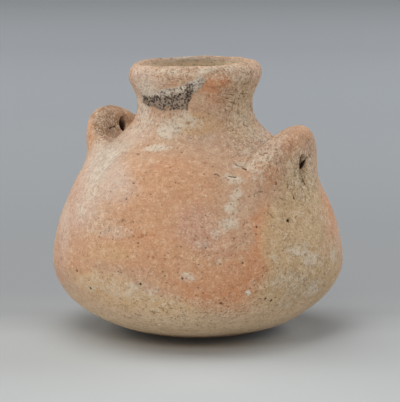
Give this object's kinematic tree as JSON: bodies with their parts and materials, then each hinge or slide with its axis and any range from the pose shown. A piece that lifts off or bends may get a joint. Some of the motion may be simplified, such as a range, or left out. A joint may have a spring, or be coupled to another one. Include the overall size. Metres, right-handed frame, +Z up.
{
  "type": "lugged jar",
  "caption": "Small round-bellied fired-clay jar with a short flared neck and pierced upright lugs for a carrying string.",
  "frame": {"origin": "middle of the flat underside, where the jar stands", "axes": "+Z up along the jar's axis; +X through the lug that the picture shows on the right, -X through the one on the left; -Y and a little +X faces the camera of the picture, which looks from 33 degrees round towards +X"},
  "size_m": [0.1104, 0.1104, 0.1022],
  "materials": {
    "buff_clay": "unglazed, matt, yellowish buff",
    "orange_clay": "unglazed, matt, pinkish orange with pale lime bloom",
    "grey_crust": "rough gritty burial concretion"
  },
  "bodies": {
    "root": {"base_disc": "buff_clay", "lower_bowl": "buff_clay", "shoulder_wall": "orange_clay", "neck_wall": "orange_clay", "rim_collar": "orange_clay", "lug_right": "orange_clay", "lug_left": "orange_clay", "neck_crust": "grey_crust"}
  },
  "joints": []
}
